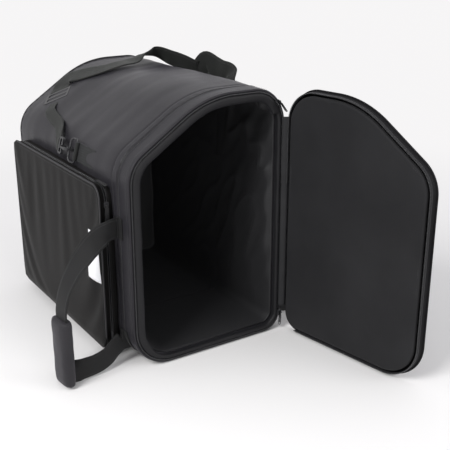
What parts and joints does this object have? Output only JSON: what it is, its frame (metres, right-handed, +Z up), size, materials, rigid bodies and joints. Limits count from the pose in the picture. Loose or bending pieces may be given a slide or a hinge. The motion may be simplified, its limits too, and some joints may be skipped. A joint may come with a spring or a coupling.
{
  "type": "accordion case",
  "caption": "Soft padded zip case for a piano accordion, lying on its side with the end lid open; zip pocket, carry handles and a shoulder strap on swivel hooks.",
  "frame": {"origin": "centre of the side that the case rests on, on the floor, half-way between the open mouth and the closed back", "axes": "+X towards the wall that the lid is hinged on, +Y from the open mouth to the closed back, +Z up from the floor"},
  "size_m": [0.5977, 0.8113, 0.514],
  "materials": {
    "shell_nylon": "satin",
    "pocket_nylon": "satin",
    "lining": "matte",
    "foam": "matte",
    "piping": "satin",
    "zip_tape": "matte",
    "zip_coil": "satin",
    "slider_metal": "gloss",
    "pull_cord": "matte",
    "webbing": "satin",
    "grip_nylon": "satin",
    "label": "matte",
    "steel": "satin",
    "plastic": "satin"
  },
  "bodies": {
    "case": {"back_piping": "piping", "case_hinge_strip": "zip_tape", "case_zip_coil": "zip_coil", "case_zip_tape": "zip_tape", "foam_back": "foam", "foam_far_wall": "foam", "foam_floor": "foam", "foam_hinge_wall": "foam", "foam_shoulder": "foam", "foam_top": "foam", "left_handle_anchor": "webbing", "lining_back": "lining", "lining_sleeve": "lining", "mouth_band": "shell_nylon", "mouth_lip": "lining", "mouth_piping": "piping", "narrow_webs": "webbing", "pocket_base_gusset": "pocket_nylon", "pocket_hinge_strip": "zip_tape", "pocket_inner_coil": "zip_coil", "right_handle_anchor": "webbing", "shell_back_panel": "shell_nylon", "shell_base_panel": "shell_nylon", "shell_wrap": "shell_nylon", "shoulder_strap": "webbing", "strap_anchor_tabs": "webbing", "strap_buckles": "plastic", "swivel_eyes": "steel"},
    "door": {"door_cover": "shell_nylon", "door_foam": "foam", "door_gusset": "shell_nylon", "door_hinge_strip": "zip_tape", "door_inner_panel": "lining", "door_piping": "piping", "door_zip_coil": "zip_coil", "door_zip_tape": "zip_tape"},
    "pocket_flap": {"pocket_flap_gusset": "pocket_nylon", "pocket_flap_hinge": "zip_tape", "pocket_flap_panel": "pocket_nylon", "pocket_label": "label", "pocket_outer_coil": "zip_coil"},
    "top_slider": {"top_slider": "slider_metal"},
    "top_slider_pull": {"top_slider_pull": "slider_metal"},
    "foot_slider": {"foot_slider": "slider_metal"},
    "foot_slider_pull": {"foot_slider_pull": "slider_metal"},
    "pocket_top_slider": {"pocket_top_slider": "slider_metal"},
    "pocket_top_pull": {"pocket_top_pull": "pull_cord"},
    "pocket_front_slider": {"pocket_front_slider": "slider_metal"},
    "pocket_front_pull": {"pocket_front_pull": "pull_cord"},
    "left_handle": {"left_handle_webbing": "webbing", "left_handle_grip": "grip_nylon"},
    "right_handle": {"right_handle_webbing": "webbing", "right_handle_grip": "grip_nylon"},
    "left_ring": {"left_strap_ring": "steel"},
    "right_ring": {"right_strap_ring": "steel"},
    "left_hook": {"left_strap_hook": "steel"},
    "right_hook": {"right_strap_hook": "steel"},
    "left_gate": {"left_hook_gate": "steel"},
    "right_gate": {"right_hook_gate": "steel"}
  },
  "joints": [
    {"name": "door_hinge", "type": "hinge", "parent": "case", "child": "door", "pos_m": [0.1594, -0.25, 0], "axis": [0, 0, 1], "range_deg": [-99, 76]},
    {"name": "top_slider_travel", "type": "hinge", "parent": "case", "child": "top_slider", "pos_m": [0.094, -0.2504, 0.414], "axis": [0, -1, 0], "range_deg": [0, 52]},
    {"name": "top_slider_pull_hinge", "type": "hinge", "parent": "top_slider", "child": "top_slider_pull", "pos_m": [0.14498, -0.2504, 0.45383], "axis": [0, -1, 0], "range_deg": [0, 150]},
    {"name": "foot_slider_travel", "type": "hinge", "parent": "case", "child": "foot_slider", "pos_m": [0.122, -0.2504, 0.038], "axis": [0, 1, 0], "range_deg": [0, 80]},
    {"name": "foot_slider_pull_hinge", "type": "hinge", "parent": "foot_slider", "child": "foot_slider_pull", "pos_m": [0.15861, -0.2504, 0.03544], "axis": [0, -1, 0], "range_deg": [0, 25]},
    {"name": "pocket_flap_hinge", "type": "hinge", "parent": "case", "child": "pocket_flap", "pos_m": [-0.174, 0.2165, 0], "axis": [0, 0, -1], "range_deg": [0, 100]},
    {"name": "pocket_top_slider_travel", "type": "slide", "parent": "case", "child": "pocket_top_slider", "axis": [0, 1, 0], "range_m": [0, 0.3]},
    {"name": "pocket_top_pull_hinge", "type": "hinge", "parent": "pocket_top_slider", "child": "pocket_top_pull", "pos_m": [-0.174, -0.159, 0.3362], "axis": [-1, 0, 0], "range_deg": [0, 150]},
    {"name": "pocket_front_slider_travel", "type": "slide", "parent": "case", "child": "pocket_front_slider", "axis": [0, 0, -1], "range_m": [0, 0.22]},
    {"name": "pocket_front_pull_hinge", "type": "hinge", "parent": "pocket_front_slider", "child": "pocket_front_pull", "pos_m": [-0.174, -0.1942, 0.301], "axis": [-1, 0, 0], "range_deg": [0, 14]},
    {"name": "left_handle_swing", "type": "hinge", "parent": "case", "child": "left_handle", "pos_m": [-0.164, -0.209, 0], "axis": [0, 0, 1], "range_deg": [-10, 60]},
    {"name": "right_handle_swing", "type": "hinge", "parent": "case", "child": "right_handle", "pos_m": [0.164, -0.209, 0], "axis": [0, 0, 1], "range_deg": [-4, 55]},
    {"name": "left_ring_swing", "type": "hinge", "parent": "case", "child": "left_ring", "pos_m": [-0.16293, -0.05, 0.36156], "axis": [-0.2778, 0, -0.9606], "range_deg": [-8, 8]},
    {"name": "left_hook_swivel", "type": "hinge", "parent": "case", "child": "left_hook", "pos_m": [-0.17044, -0.00483, 0.36373], "axis": [0, 1, 0], "range_deg": [-15, 15]},
    {"name": "left_gate_hinge", "type": "hinge", "parent": "left_hook", "child": "left_gate", "pos_m": [-0.17909, -0.01582, 0.36623], "axis": [0.2778, 0, 0.9606], "range_deg": [0, 22], "stiffness_Nm_per_rad": 0.02, "springref_deg": -9.74},
    {"name": "right_ring_swing", "type": "hinge", "parent": "case", "child": "right_ring", "pos_m": [0.1658, -0.07, 0.34], "axis": [0, -1, 0], "range_deg": [-8, 8]},
    {"name": "right_hook_swivel", "type": "hinge", "parent": "case", "child": "right_hook", "pos_m": [0.17361, -0.07, 0.38517], "axis": [0, 0, 1], "range_deg": [-15, 15]},
    {"name": "right_gate_hinge", "type": "hinge", "parent": "right_hook", "child": "right_gate", "pos_m": [0.18261, -0.07, 0.37417], "axis": [0, 1, 0], "range_deg": [0, 22], "stiffness_Nm_per_rad": 0.02, "springref_deg": -9.74}
  ]
}
